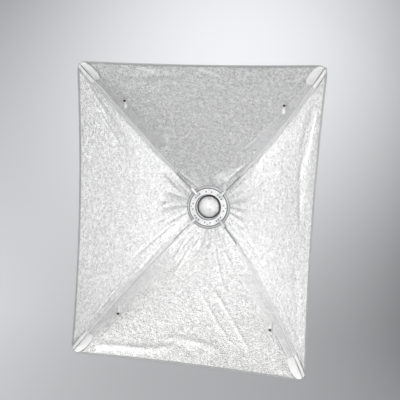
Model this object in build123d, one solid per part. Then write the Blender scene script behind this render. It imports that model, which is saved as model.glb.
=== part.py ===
"""An 80 x 100 cm softbox on a bayonet speed ring, with the lamp head and tilt bracket that carry it.

Millimetres. The origin is the mouth of the stand socket, +Z up the stand, and the light shines along -Y.
"""

import os
from math import cos, pi, radians, sin

from build123d import *

# ---- driving dimensions ----
OPENING_W, OPENING_H = 810, 1006  # across the corners of the cloth
DEPTH = 370  # from the ring's face to the plane of the corners
RING_FACE_Y = -100  # the speed ring's front face
CORNER_Y = RING_FACE_Y - DEPTH
AXIS_Z = 180  # the optical axis above the stand socket's mouth
PIVOT_Z = 85  # the tilt pivot, on the Z axis
FIT = 0.08  # radial clearance of a running fit

# cloth
CLOTH_T = 1.2
NECK_R, NECK_Y = 86, -96
SEAM_BACK, SEAM_SIDE = 44, 15  # how far the seam bows back and outwards at its middle
SIDE_BOW = 4  # how far the cloth is pulled in between two corners
HEM_CUT_SIDE, HEM_CUT_TOP = 14, 1.5  # how far the hem is cut back between corners
HEM_OVERRUN = 1.2  # the hem's arc is drawn past the corners, to this many half widths
BINDING_R, KNOT_R, KNOT_GAP = 4, 5.2, 3.6
STATIONS = (0, 0.06, 0.16, 0.32, 0.5, 0.7, 0.86, 1.02)  # shares of the way from neck to hem

# rods, their sleeves and pockets, as shares of the seam or of the rod
ROD_R = 2.25
ROD_ROOT_R, ROD_ROOT_Y = 60, -104.5
ROD_STOPS = (0.22, 0.4, 0.6, 0.8, 0.965)
SLEEVE_IN, SLEEVE_OUT = 2.7, 3.6
SLEEVE_SPAN = (0.16, 0.9)
POCKET_SPAN = (0.91, 1)
POCKET_R, POCKET_END = 4.4, 5
HOLDER_SPAN = (0.02, 0.062)
HOLDER_R = 4.8
FOOT_T = 3

# tabs for an inner diffuser
TAB_SHARE, TAB_FROM_ROD = 0.735, 46
TAB_W, TAB_LONG, TAB_T, TAB_LIFT = 12, 32, 1.2, 1.6
STUD_R, STUD_T = 4.5, 3

# speed ring: radii about the optical axis
PLATE_IN, PLATE_OUT, PLATE_T = 50.5, 75, 3
ROTOR_OUT, ROTOR_T = 84, 11
ROTOR_BACK_Y = RING_FACE_Y + PLATE_T + ROTOR_T
SLEEVE_R = 56.22
SCREW_CIRCLE, SCREW_STEP = 63, 10  # screws stand 10 degrees to each side of a station
SCREW_R, SCREW_HEAD_R = 1.5, 2.7
SPARE_HOLE_CIRCLE = 70  # holes for further rods

# bayonet adapter
ADAPTER_IN, ADAPTER_FLANGE_R = 50, 80
ADAPTER_FRONT_Y = ROTOR_BACK_Y + 0.5
ADAPTER_BACK_Y = ROTOR_BACK_Y + 5.5
COLLAR_IN, COLLAR_OUT, LUG_BACK_Y = 47.6, 50.2, -72
LUG_R, LUG_ANGLES = 54.2, (30, 150, 270)
LOCK_ANGLE, LOCK_CIRCLE = 60, 80
LOCK_STEM_R, LOCK_GRIP_R, LOCK_FLUTES = 2.4, 6.5, 10

# lamp head
FLANGE_R = 72
FLANGE_FRONT_Y, GROOVE_BACK_Y, FLANGE_BACK_Y = ADAPTER_BACK_Y + 0.5, -69, -66
BODY_W, BODY_H, BODY_CORNER = 124, 128, 26
BODY_FRONT_Y, BODY_BACK_Y = -60, 130
BODY_TOP, BODY_BOTTOM = AXIS_Z + BODY_H / 2, AXIS_Z - BODY_H / 2
WALL, PANEL_T = 2.6, 4
SCREW_X, SCREW_Z = 49.5, 51.5
VENTS, VENT_Y, VENT_STEP, VENT_W = 7, 52, 9, 3.2
VENT_LOW, VENT_HIGH = 8, 34
HANDLE_Y, HANDLE_Z = (16, 108), BODY_TOP + 34

# lamp
BASE_R, BASE_FRONT_Y, BOSS_R = 47.2, -74, 39.5
DOME_R, DOME_RISE, DOME_T, DOME_BASE_Y = 42.8, 26, 2, -80
TUBE_CIRCLE, TUBE_R, TUBE_Y = 27, 4.2, -85
TUBE_LEGS = (-90 - 13, -90 + 13)
BULB_R, BULB_TIP_Y, BULB_HOLDER_R = 8, -98, 10
DISH_IN, DISH_OUT, DISH_H = 12, 37.5, 6

# rear panel
SPLIT_UP = -20.5  # where the socket plate ends and the control panel begins
DISPLAY_W, DISPLAY_H, DISPLAY_UP = 46, 18, 37
DIAL_R, DIAL_UP, DIAL_FLUTES, DIAL_SHAFT_R = 16, 2, 24, 3.1
BUTTON_R = 4.5
BUTTONS = {"test_button": (-38, 10), "lamp_button": (38, 10), "slave_button": (-38, -10)}
SWITCH_AT, SWITCH_THROW = (12, -38), 16
INLET_AT, FUSE_AT, JACK_AT, EYE_AT = (-26, -38), (38, -36), (38, -10), (40, 38)
JACK_R, JACK_DEPTH = 1.8, 14
FAN_Y, FAN_UP, FAN_BLADES, FAN_AXLE_R = 98, 27, 7, 1.5

# bracket
DISC_R = 18
DISC_HALF, EAR_IN, EAR_OUT = 9, 10.3, 17
BOLT_R, LEVER_LONG = 3.9, 58
SOCKET_R, SOCKET_H, STEM_HALF = 16, 48, 14
SPIGOT_R, SPIGOT_DEPTH, SPIGOT_KNOB_Z, SPIGOT_SCREW_R = 8.2, 40, 20, 3
UMBRELLA_Z, UMBRELLA_R, UMBRELLA_SCREW_R = 57, 4.1, 2


# ---- helpers ----
def along_x(radius, x0, x1, y, z):
    return Pos((x0 + x1) / 2, y, z) * Rot(0, 90, 0) * Cylinder(radius, x1 - x0)


def along_y(radius, y0, y1, x, z):
    return Pos(x, (y0 + y1) / 2, z) * Rot(90, 0, 0) * Cylinder(radius, y1 - y0)


def along_z(radius, z0, z1, x=0, y=0):
    return Pos(x, y, (z0 + z1) / 2) * Cylinder(radius, z1 - z0)


def block(x0, x1, y0, y1, z0, z1):
    return Pos((x0 + x1) / 2, (y0 + y1) / 2, (z0 + z1) / 2) * Box(x1 - x0, y1 - y0, z1 - z0)


def ring(r_in, r_out, y0, y1):
    """A ring about the optical axis."""
    return along_y(r_out, y0, y1, 0, AXIS_Z) - along_y(r_in, y0 - 1, y1 + 1, 0, AXIS_Z)


def spot(angle, radius):
    """X and Z of a point on a circle about the optical axis."""
    return radius * cos(radians(angle)), AXIS_Z + radius * sin(radians(angle))


def spot_point(angle, radius, y):
    x, z = spot(angle, radius)
    return x, y, z


def turned(shape, angle):
    """The shape turned about the optical axis, from +X towards +Z."""
    return Pos(0, 0, AXIS_Z) * Rot(0, -angle, 0) * Pos(0, 0, -AXIS_Z) * shape


def sector(r_in, r_out, y0, y1, middle, width):
    """Part of a ring, width degrees wide."""
    far = 2 * r_out
    half = radians(width / 2)
    x, z = far * cos(half), far * sin(half)
    wedge = Plane.XZ * make_face(Polyline((0, 0), (x, z), (x, -z), close=True))
    wedge = Pos(0, y1 + 1, AXIS_Z) * extrude(wedge, amount=y1 - y0 + 2)
    return ring(r_in, r_out, y0, y1) & turned(wedge, middle)


def rounded(width, height, corner, y0, y1):
    """A rounded rectangular bar along Y about the optical axis."""
    face = Plane.XZ * RectangleRounded(width, height, corner)
    return Pos(0, y1, AXIS_Z) * extrude(face, amount=y1 - y0)


def arc_point(start, end, bow, share):
    """A point at a share of the way along a line from start to end that bows as a parabola."""
    return start + (end - start) * share + bow * (4 * share * (1 - share))


def swept(profile, path):
    return sweep(Plane(origin=path @ 0, z_dir=path % 0) * profile, path=path)


def mirrored_x(shape):
    return shape.mirror(Plane.YZ)


def mirrored_z(shape):
    return shape.mirror(Plane.XY.offset(AXIS_Z))


def quarters(shape):
    """The upper right shape and its mirror images, named by their quarter."""
    return {
        "upper_right": shape,
        "upper_left": mirrored_x(shape),
        "lower_left": mirrored_x(mirrored_z(shape)),
        "lower_right": mirrored_z(shape),
    }


def grip(radius, lobes, depth, x0, x1, y, z):
    """A lobed knob along X."""
    body = along_x(radius, x0, x1, y, z)
    for k in range(lobes):
        turn = radians(360 * (k + 0.5) / lobes)
        reach = radius + depth
        body -= along_x(2 * depth, x0 - 1, x1 + 1, y + reach * cos(turn), z + reach * sin(turn))
    return body


X, Y, Z = Vector(1, 0, 0), Vector(0, 1, 0), Vector(0, 0, 1)
parts = {}


# ---- cloth shell ----
def seam_point(share):
    """The seam of the right and top panels, with Z counted from the optical axis."""
    start = Vector(NECK_R * cos(pi / 4), NECK_Y, NECK_R * sin(pi / 4))
    end = Vector(OPENING_W / 2, CORNER_Y, OPENING_H / 2)
    return arc_point(start, end, Vector(SEAM_SIDE, SEAM_BACK, 0), share)


def seam_run(share):
    """The way the seam runs, from neck to hem."""
    return seam_point(share + 0.01) - seam_point(share - 0.01)


def panel_square(share, up):
    """The way out of a panel, square to the cloth and away from the light."""
    run = seam_run(share)
    return (Y * run.dot(up) - up * run.Y).normalized()


def panel_section(share, across, up):
    """A thin strip of cloth from seam to seam. It follows the ring at the neck and sags in at the hem."""
    here, square = seam_point(share), panel_square(share, up)
    way = (up * (1 - share) ** 2 + square * (1 - (1 - share) ** 2)).normalized()
    bow = way * (NECK_R * (1 - cos(pi / 4)) * (1 - share) ** 3 - SIDE_BOW * share)
    skin = way * (CLOTH_T / way.dot(square))
    centre = Vector(0, here.Y, AXIS_Z) + up * here.dot(up)
    half = across * (here.dot(across) - 1)
    inner = Spline(centre - half, centre + bow, centre + half)
    outer = Spline(centre - half + skin, centre + bow + skin, centre + half + skin)
    return make_face([inner, Line(inner @ 1, outer @ 1), outer, Line(outer @ 0, inner @ 0)])


def hem_cutter(across, half_width, cut):
    """Everything in front of the hem, which is cut back between the corners."""
    far_y = CORNER_Y - 200
    reach = across * half_width * HEM_OVERRUN
    end_y = CORNER_Y - cut * (HEM_OVERRUN**2 - 1)
    start, end = Y * end_y - reach, Y * end_y + reach
    arc = ThreePointArc(start, Y * (CORNER_Y + cut), end)
    outline = Polyline(end, Y * far_y + reach, Y * far_y - reach, start)
    face = make_face([arc, *outline.edges()])
    normal = across.cross(Y)
    return Pos(0, 0, AXIS_Z) * extrude(face, amount=OPENING_H, dir=normal, both=True)


def cloth_panel(across, up, half_width, cut):
    panel = loft([panel_section(share, across, up) for share in STATIONS])
    return panel - hem_cutter(across, half_width, cut)


panel_top = cloth_panel(X, Z, OPENING_W / 2, HEM_CUT_TOP)
panel_right = cloth_panel(Z, X, OPENING_H / 2, HEM_CUT_SIDE)
parts["panel_top"] = panel_top
parts["panel_bottom"] = mirrored_z(panel_top)
parts["panel_right"] = panel_right
parts["panel_left"] = mirrored_x(panel_right)


# ---- binding round the hem: four tapes, and a knot of tape between them at each corner ----
def hem_edge(panel):
    """The hem's longest edge, stopping at the knots."""
    edge = panel.edges().sort_by(SortBy.LENGTH)[-1]
    short = KNOT_GAP / edge.length
    return edge.trim(short, 1 - short)


top_hem, right_hem = hem_edge(panel_top), hem_edge(panel_right)
top_end = max(top_hem @ 0, top_hem @ 1, key=lambda end: end.X)
right_end = max(right_hem @ 0, right_hem @ 1, key=lambda end: end.Z)
knot = fillet(Cylinder(KNOT_R, 2 * KNOT_R).edges(), 2)
knot = Pos(right_end.X, CORNER_Y, top_end.Z) * Rot(90, 0, 0) * knot
top_binding, right_binding = swept(Circle(BINDING_R), top_hem), swept(Circle(BINDING_R), right_hem)
tapes = [top_binding, right_binding, mirrored_z(top_binding), mirrored_x(right_binding)]
parts["edge_binding"] = Compound(tapes + list(quarters(knot).values()))

# ---- rods, sleeves and corner pockets ----
AXIS_LIFT = Vector(0, 0, AXIS_Z)


def rod_stop(share):
    """A point just inside the seam, where the rod lies against the cloth."""
    here, run = seam_point(share), seam_run(share)
    outwards = Vector(here.X, 0, here.Z).normalized()
    inwards = (Y * -run.dot(outwards) + outwards * run.Y).normalized()
    return here + inwards * (SLEEVE_OUT + 0.3) + AXIS_LIFT


rod_root = Vector(ROD_ROOT_R * cos(pi / 4), ROD_ROOT_Y, ROD_ROOT_R * sin(pi / 4)) + AXIS_LIFT
rod_path = Spline(rod_root, *[rod_stop(share) for share in ROD_STOPS])
rod = swept(Circle(ROD_R), rod_path)
sleeve = swept(Circle(SLEEVE_OUT) - Circle(SLEEVE_IN), rod_path.trim(*SLEEVE_SPAN))
tip, ahead = rod_path @ 1, rod_path % 1
pocket = swept(Circle(POCKET_R), rod_path.trim(*POCKET_SPAN))
blind_end = Cylinder(POCKET_R, POCKET_END, align=(Align.CENTER, Align.CENTER, Align.MIN))
pocket += Plane(origin=tip, z_dir=ahead) * blind_end
pocket -= swept(Circle(SLEEVE_IN), rod_path.trim(POCKET_SPAN[0] - 0.01, 1))
for quarter, shape in quarters(rod).items():
    parts[f"rod_{quarter}"] = shape
parts["rod_sleeves"] = Compound(children=list(quarters(sleeve).values()))
parts["corner_pockets"] = Compound(children=list(quarters(pocket).values()))

# ---- tabs for an inner diffuser, on the top and bottom panels beside the rods ----
tab_seam, tab_square = seam_point(TAB_SHARE), panel_square(TAB_SHARE, Z)
tab_x = tab_seam.X - TAB_FROM_ROD
tab_sag = SIDE_BOW * TAB_SHARE * (1 - (tab_x / tab_seam.X) ** 2)
tab_at = tab_seam - tab_square * tab_sag + AXIS_LIFT
tab_plane = Plane(origin=(tab_x, tab_at.Y, tab_at.Z), x_dir=X, z_dir=-tab_square)
tab = tab_plane * (Pos(0, 0, TAB_LIFT) * Box(TAB_W, TAB_LONG, TAB_T))
stud_seat = Pos(0, (TAB_LONG - TAB_W) / 2, TAB_LIFT + (TAB_T + STUD_T) / 2)
stud = tab_plane * (stud_seat * Cylinder(STUD_R, STUD_T))
parts["diffuser_tabs"] = Compound(children=list(quarters(tab).values()))
parts["tab_studs"] = Compound(children=list(quarters(stud).values()))

# ---- neck of the cloth on the ring ----
parts["neck_band"] = ring(ROTOR_OUT + 0.4, NECK_R + 1.5, NECK_Y - 2.5, ROTOR_BACK_Y - 0.2)
elastic = Rot(90, 0, 0) * Torus(NECK_R + 3.3, 1.6)
parts["neck_elastic"] = Pos(0, NECK_Y + 7, AXIS_Z) * elastic

# ---- speed ring ----
plate = ring(PLATE_IN, PLATE_OUT, RING_FACE_Y, RING_FACE_Y + PLATE_T)
rotor = ring(SLEEVE_R + FIT, ROTOR_OUT, RING_FACE_Y + PLATE_T, ROTOR_BACK_Y)
plate_screws, holder_screws = [], []
for station in range(0, 360, 45):
    holds_rod = station % 90 == 45
    for step in (-SCREW_STEP, SCREW_STEP):
        x, z = spot(station + step, SCREW_CIRCLE)
        plate -= along_y(SCREW_R + 0.15, RING_FACE_Y - 1, RING_FACE_Y + PLATE_T + 1, x, z)
        rotor -= along_y(SCREW_R + 0.15, RING_FACE_Y, RING_FACE_Y + 10, x, z)
        seat = RING_FACE_Y - (FOOT_T if holds_rod else 0)
        screw = along_y(SCREW_R, seat, RING_FACE_Y + 9, x, z)
        screw += along_y(SCREW_HEAD_R, seat - 1.6, seat, x, z)
        screw -= Pos(x, seat - 1.6, z) * Box(0.8, 1.4, 4)
        (holder_screws if holds_rod else plate_screws).append(screw)
    if not holds_rod:
        x, z = spot(station, SPARE_HOLE_CIRCLE)
        plate -= along_y(ROD_R + 0.15, RING_FACE_Y - 1, RING_FACE_Y + PLATE_T + 1, x, z)
        rotor -= along_y(ROD_R + 0.15, RING_FACE_Y, RING_FACE_Y + 10, x, z)
parts["ring_plate"] = plate
parts["ring_rotor"] = rotor
parts["plate_screws"] = Compound(children=plate_screws)
parts["holder_screws"] = Compound(children=holder_screws)

# ---- rod holders: a foot on the plate and a tube that the rod slides into ----
holder_path = rod_path.trim(*HOLDER_SPAN)
foot = sector(SCREW_CIRCLE - 5, SCREW_CIRCLE + 11, RING_FACE_Y - FOOT_T, RING_FACE_Y, 45, 28)
for step in (-SCREW_STEP, SCREW_STEP):
    foot -= along_y(SCREW_R + 0.15, RING_FACE_Y - 20, RING_FACE_Y + 1, *spot(45 + step, SCREW_CIRCLE))
web = block(SCREW_CIRCLE + 4, SCREW_CIRCLE + 10.5, RING_FACE_Y - 9, RING_FACE_Y, AXIS_Z - 3, AXIS_Z + 3)
holder = swept(Circle(HOLDER_R), holder_path) + turned(web, 45) + foot
holder -= block(0, 200, RING_FACE_Y, RING_FACE_Y + 20, AXIS_Z, AXIS_Z + 200)
holder -= swept(Circle(ROD_R + 0.1), rod_path.trim(0, 0.2))
parts["rod_holders"] = Compound(children=list(quarters(holder).values()))

# ---- bayonet adapter, which the ring turns on ----
adapter = ring(ADAPTER_IN, SLEEVE_R, RING_FACE_Y + PLATE_T + 0.5, ADAPTER_FRONT_Y)
adapter += ring(ADAPTER_IN, ADAPTER_FLANGE_R, ADAPTER_FRONT_Y, ADAPTER_BACK_Y)
adapter += ring(COLLAR_IN, COLLAR_OUT, ADAPTER_BACK_Y, LUG_BACK_Y)
for angle in LUG_ANGLES:
    adapter += sector(COLLAR_OUT - 0.5, LUG_R, LUG_BACK_Y - 3.5, LUG_BACK_Y, angle, 30)
lock_x, lock_z = spot(LOCK_ANGLE, LOCK_CIRCLE)
before, behind = ADAPTER_FRONT_Y - 1, ADAPTER_BACK_Y + 1
adapter += along_y(8.5, ADAPTER_FRONT_Y, ADAPTER_BACK_Y, lock_x, lock_z)
adapter -= along_y(LOCK_STEM_R + FIT, before, behind, lock_x, lock_z)
adapter -= block(-3.5, 3.5, before, behind, AXIS_Z + FLANGE_R, AXIS_Z + ADAPTER_FLANGE_R + 2)
parts["bayonet_adapter"] = adapter
lock_grip = along_y(LOCK_GRIP_R, ADAPTER_BACK_Y + 0.5, ADAPTER_BACK_Y + 13.5, lock_x, lock_z)
for k in range(LOCK_FLUTES):
    turn = radians(360 * k / LOCK_FLUTES)
    reach = LOCK_GRIP_R + 0.6
    side = (lock_x + reach * cos(turn), lock_z + reach * sin(turn))
    lock_grip -= along_y(1.2, ADAPTER_BACK_Y, ADAPTER_BACK_Y + 14, *side)
lock_stem = along_y(LOCK_STEM_R, ROTOR_BACK_Y + 0.2, ADAPTER_BACK_Y + 2, lock_x, lock_z)
parts["ring_lock_knob"] = lock_stem + lock_grip

# ---- lamp head: front casting and lamp ----
casting = ring(COLLAR_OUT + 0.5, FLANGE_R, FLANGE_FRONT_Y, GROOVE_BACK_Y)
casting += ring(BASE_R + 0.3, FLANGE_R, GROOVE_BACK_Y, FLANGE_BACK_Y)
casting -= ring(COLLAR_OUT, LUG_R + 0.6, FLANGE_FRONT_Y + 4, GROOVE_BACK_Y)
for angle in LUG_ANGLES:
    casting -= sector(COLLAR_OUT, LUG_R + 0.6, FLANGE_FRONT_Y - 1, FLANGE_FRONT_Y + 5, angle + 60, 36)
front_wall = rounded(BODY_W, BODY_H, BODY_CORNER, FLANGE_BACK_Y, BODY_FRONT_Y)
parts["front_casting"] = casting + (front_wall - along_y(BOSS_R + 0.3, -100, 0, 0, AXIS_Z))

base = along_y(BASE_R, BASE_FRONT_Y, FLANGE_BACK_Y - 0.3, 0, AXIS_Z)
base += along_y(BOSS_R, FLANGE_BACK_Y - 1, BODY_FRONT_Y + 2, 0, AXIS_Z)
base += along_y(BULB_HOLDER_R, DOME_BASE_Y, BASE_FRONT_Y + 1, 0, AXIS_Z)
for angle in TUBE_LEGS:
    base -= along_y(TUBE_R + 0.3, -80, -50, *spot(angle, TUBE_CIRCLE))
parts["lamp_base"] = base

cone = Rot(90, 0, 0) * Cone(DISH_IN, DISH_OUT, DISH_H)
dish = Pos(0, BASE_FRONT_Y - DISH_H / 2, AXIS_Z) * cone
dish -= Pos(0, BASE_FRONT_Y - DISH_H / 2 - 1, AXIS_Z) * cone
dish -= along_y(BULB_HOLDER_R + 0.5, -90, -60, 0, AXIS_Z)
for angle in TUBE_LEGS:
    dish -= along_y(TUBE_R + 0.4, -90, -60, *spot(angle, TUBE_CIRCLE))
parts["reflector_dish"] = dish

hoop = Pos(0, TUBE_Y, AXIS_Z) * Rot(90, 0, 0) * Torus(TUBE_CIRCLE, TUBE_R)
hoop -= sector(TUBE_CIRCLE - 9, TUBE_CIRCLE + 9, TUBE_Y - 9, TUBE_Y + 9, -90, 26)
for angle in TUBE_LEGS:
    hoop += along_y(TUBE_R, TUBE_Y, BASE_FRONT_Y + 12, *spot(angle, TUBE_CIRCLE))
    hoop += Pos(*spot_point(angle, TUBE_CIRCLE, TUBE_Y)) * Sphere(TUBE_R)
parts["flash_tube"] = hoop

bulb = along_y(BULB_R, BULB_TIP_Y + BULB_R, DOME_BASE_Y, 0, AXIS_Z)
parts["modelling_bulb"] = bulb + Pos(0, BULB_TIP_Y + BULB_R, AXIS_Z) * Sphere(BULB_R)

dome_front = DOME_BASE_Y - DOME_RISE
sphere_r = (DOME_R**2 + DOME_RISE**2) / (2 * DOME_RISE)
sphere_at = Pos(0, dome_front + sphere_r, AXIS_Z)
inside_r = DOME_R - DOME_T
dome = (sphere_at * Sphere(sphere_r)) & along_y(DOME_R, dome_front - 1, DOME_BASE_Y, 0, AXIS_Z)
dome += along_y(DOME_R, DOME_BASE_Y, DOME_BASE_Y + 5, 0, AXIS_Z)
hollow = sphere_at * Sphere(sphere_r - DOME_T)
hollow &= along_y(inside_r, dome_front, DOME_BASE_Y + 0.5, 0, AXIS_Z)
parts["glass_dome"] = dome - hollow - along_y(inside_r, DOME_BASE_Y, DOME_BASE_Y + 6, 0, AXIS_Z)
dome_ring = ring(DOME_R + 0.2, BASE_R, DOME_BASE_Y - 5, BASE_FRONT_Y)
outer_rim = dome_ring.faces().sort_by(Axis.Y)[0].edges().sort_by(SortBy.LENGTH)[-1]
parts["dome_ring"] = fillet(outer_rim, 2)

# ---- lamp head: housing ----
shell = rounded(BODY_W, BODY_H, BODY_CORNER, BODY_FRONT_Y, BODY_BACK_Y)
inside_w, inside_h = BODY_W - 2 * WALL, BODY_H - 2 * WALL
shell -= rounded(inside_w, inside_h, BODY_CORNER - WALL, BODY_FRONT_Y - 1, BODY_BACK_Y + 1)
corners_xz = [(i * SCREW_X, AXIS_Z + j * SCREW_Z) for i in (-1, 1) for j in (-1, 1)]
for x, z in corners_xz:
    shell += along_y(5, BODY_BACK_Y - 18, BODY_BACK_Y, x, z)
    shell -= along_y(SCREW_R + 0.1, BODY_BACK_Y - 14, BODY_BACK_Y + 1, x, z)
for k in range(VENTS):
    y = VENT_Y + k * VENT_STEP
    for low, high in ((VENT_LOW, VENT_HIGH), (-VENT_HIGH, -VENT_LOW)):
        shell -= block(-BODY_W, BODY_W, y, y + VENT_W, AXIS_Z + low, AXIS_Z + high)
halves = {"housing_upper": (AXIS_Z + 0.2, AXIS_Z + 100), "housing_lower": (AXIS_Z - 100, AXIS_Z - 0.2)}
for name, (low, high) in halves.items():
    parts[name] = shell & block(-100, 100, BODY_FRONT_Y, BODY_BACK_Y, low, high)

low_front, low_back = (0, HANDLE_Y[0], BODY_TOP), (0, HANDLE_Y[1], BODY_TOP)
high_front, high_back = (0, HANDLE_Y[0], HANDLE_Z), (0, HANDLE_Y[1], HANDLE_Z)
handle_path = FilletPolyline(low_front, high_front, high_back, low_back, radius=14)
handle_section = Plane(origin=handle_path @ 0, z_dir=Z, x_dir=X) * RectangleRounded(20, 12, 4.5)
parts["handle"] = sweep(handle_section, path=handle_path)

# ---- back of the head: a control panel above a socket plate ----
face_y = BODY_BACK_Y + PANEL_T
inner_y, outer_y = BODY_BACK_Y - 1, face_y + 1  # cutters run from one to the other
back = rounded(BODY_W, BODY_H, BODY_CORNER, BODY_BACK_Y, face_y)
screw_slots = Box(4.4, 1.6, 0.9) + Box(0.9, 1.6, 4.4)
panel_screws = []
for x, z in corners_xz:
    back -= along_y(SCREW_R + 0.2, inner_y, outer_y, x, z)
    screw = along_y(SCREW_R, BODY_BACK_Y - 12, face_y, x, z) + along_y(3, face_y, face_y + 1.8, x, z)
    panel_screws.append(screw - Pos(x, face_y + 1.8, z) * screw_slots)
parts["panel_screws"] = Compound(children=panel_screws)


def window(at, half_w, half_h, y0, y1):
    """A bar along Y through a place on the panel, given as X and the height above the optical axis."""
    x, z = at[0], AXIS_Z + at[1]
    return block(x - half_w, x + half_w, y0, y1, z - half_h, z + half_h)


def on_panel(at):
    return at[0], AXIS_Z + at[1]


half_w, half_h, gap = DISPLAY_W / 2, DISPLAY_H / 2, 0.15
back -= window((0, DISPLAY_UP), half_w, half_h, face_y - 1.5, outer_y)
parts["display_window"] = window((0, DISPLAY_UP), half_w - gap, half_h - gap, face_y - 1.5, face_y + 0.4)

dial_x, dial_z = on_panel((0, DIAL_UP))
back -= along_y(DIAL_SHAFT_R + FIT, inner_y, outer_y, dial_x, dial_z)
dial = along_y(DIAL_SHAFT_R, BODY_BACK_Y - 6, face_y + 2, dial_x, dial_z)
dial += along_y(DIAL_R, face_y + 0.6, face_y + 16, dial_x, dial_z)
for k in range(DIAL_FLUTES):
    turn = radians(360 * k / DIAL_FLUTES)
    reach = DIAL_R + 0.6
    side = (dial_x + reach * cos(turn), dial_z + reach * sin(turn))
    dial -= along_y(1.3, face_y + 3.5, face_y + 17, *side)
dial -= block(-0.7, 0.7, face_y + 15, face_y + 17, dial_z + 8, dial_z + 14)
parts["power_dial"] = dial

for name, at in BUTTONS.items():
    back -= along_y(BUTTON_R + 0.25, inner_y, outer_y, *on_panel(at))
    button = along_y(BUTTON_R, BODY_BACK_Y - 2, face_y + 2.6, *on_panel(at))
    button = fillet(button.faces().sort_by(Axis.Y)[-1].edges(), 0.8)
    parts[name] = button + along_y(BUTTON_R + 1.2, BODY_BACK_Y - 4, BODY_BACK_Y - 2, *on_panel(at))

back -= window(SWITCH_AT, 7, 10, inner_y, outer_y)
bezel = window(SWITCH_AT, 8.5, 11.5, face_y, face_y + 2)
bezel += window(SWITCH_AT, 6.9, 9.9, face_y - 14, face_y)
bezel -= window(SWITCH_AT, 5.4, 8.7, face_y - 8, face_y + 3)
switch_x, switch_z = on_panel(SWITCH_AT)
bezel -= along_x(1.2 + FIT, switch_x - 6.3, switch_x + 6.3, face_y - 1, switch_z)
parts["switch_bezel"] = bezel
rocker = along_x(4, -5, 5, 0, 0) + along_x(1.2, -6.2, 6.2, 0, 0) + block(-5, 5, 0, 4.6, -7.6, 7.6)
parts["power_switch"] = Pos(switch_x, face_y - 1, switch_z) * Rot(-SWITCH_THROW / 2, 0, 0) * rocker

back -= window(INLET_AT, 14, 10.2, inner_y, outer_y)
inlet = window(INLET_AT, 17, 13, face_y, face_y + 2.5)
inlet += window(INLET_AT, 13.8, 10, face_y - 20, face_y)
parts["power_inlet"] = inlet - window(INLET_AT, 12.3, 8.4, face_y - 15, face_y + 3)
pins = []
for right, up in ((-7, 0), (0, 3), (7, 0)):
    pins.append(window((INLET_AT[0] + right, INLET_AT[1] + up), 1, 2.2, face_y - 15, face_y - 4))
parts["inlet_pins"] = Compound(children=pins)

fuse_x, fuse_z = on_panel(FUSE_AT)
back -= along_y(5.7, inner_y, outer_y, fuse_x, fuse_z)
fuse = along_y(5.5, face_y - 16, face_y, fuse_x, fuse_z) + along_y(7, face_y, face_y + 5, fuse_x, fuse_z)
parts["fuse_cap"] = fuse - Pos(fuse_x, face_y + 5, fuse_z) * Box(9, 2, 1.4)

jack_x, jack_z = on_panel(JACK_AT)
back -= along_y(4.1, inner_y, outer_y, jack_x, jack_z)
jack = along_y(3.9, face_y - 14, face_y, jack_x, jack_z)
jack += Pos(jack_x, face_y, jack_z) * extrude(Plane.XZ * RegularPolygon(5, 6), amount=-2.4)
parts["sync_socket"] = jack - along_y(JACK_R, face_y + 2.4 - JACK_DEPTH, face_y + 3, jack_x, jack_z)

eye_x, eye_z = on_panel(EYE_AT)
parts["slave_sensor"] = (Pos(eye_x, face_y, eye_z) * Sphere(5)) & window(EYE_AT, 6, 6, face_y, face_y + 6)

split_z = AXIS_Z + SPLIT_UP
parts["rear_panel"] = back & block(-100, 100, inner_y, outer_y, split_z + 0.1, AXIS_Z + 100)
parts["socket_plate"] = back & block(-100, 100, inner_y, outer_y, AXIS_Z - 100, split_z - 0.1)

# ---- inside the housing ----
parts["main_board"] = block(-52, 52, -45, 92, AXIS_Z - 14, AXIS_Z - 12.4)
capacitors = [along_y(17.5, -48, 42, side * 22, AXIS_Z - 33) for side in (-1, 1)]
parts["capacitors"] = Compound(children=capacitors)

fan_z = AXIS_Z + FAN_UP
fan = block(-30, 30, FAN_Y, FAN_Y + 14, fan_z - 30, fan_z + 30)
fan -= along_y(28, FAN_Y - 1, FAN_Y + 15, 0, fan_z)
fan += along_y(11, FAN_Y + 11, FAN_Y + 14, 0, fan_z)
for k in range(4):
    spoke = block(9, 29, FAN_Y + 11, FAN_Y + 14, -1.5, 1.5)
    fan += Pos(0, 0, fan_z) * Rot(0, 45 + 90 * k, 0) * spoke
parts["fan_frame"] = fan - along_y(FAN_AXLE_R + FIT, FAN_Y + 10, FAN_Y + 13.2, 0, fan_z)
rotor_hub = along_y(12, FAN_Y + 0.5, FAN_Y + 10, 0, fan_z)
rotor_hub += along_y(FAN_AXLE_R, FAN_Y + 9, FAN_Y + 13, 0, fan_z)
for k in range(FAN_BLADES):
    blade = Pos(18, FAN_Y + 5, 0) * Rot(35, 0, 0) * Box(15, 1.2, 10)
    rotor_hub += Pos(0, 0, fan_z) * Rot(0, 360 * k / FAN_BLADES, 0) * blade
parts["fan_rotor"] = rotor_hub

# ---- bayonet latch on top of the front casting ----
latch_z = AXIS_Z + FLANGE_R + 0.4
latch = block(-7, 7, -78, -61, latch_z, latch_z + 4.5)
latch += block(-3, 3, ADAPTER_BACK_Y - 4, -77, latch_z + 0.4, latch_z + 4)
latch += block(-7, 7, -67, -61, latch_z + 4, latch_z + 10)
parts["bayonet_latch"] = latch

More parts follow.
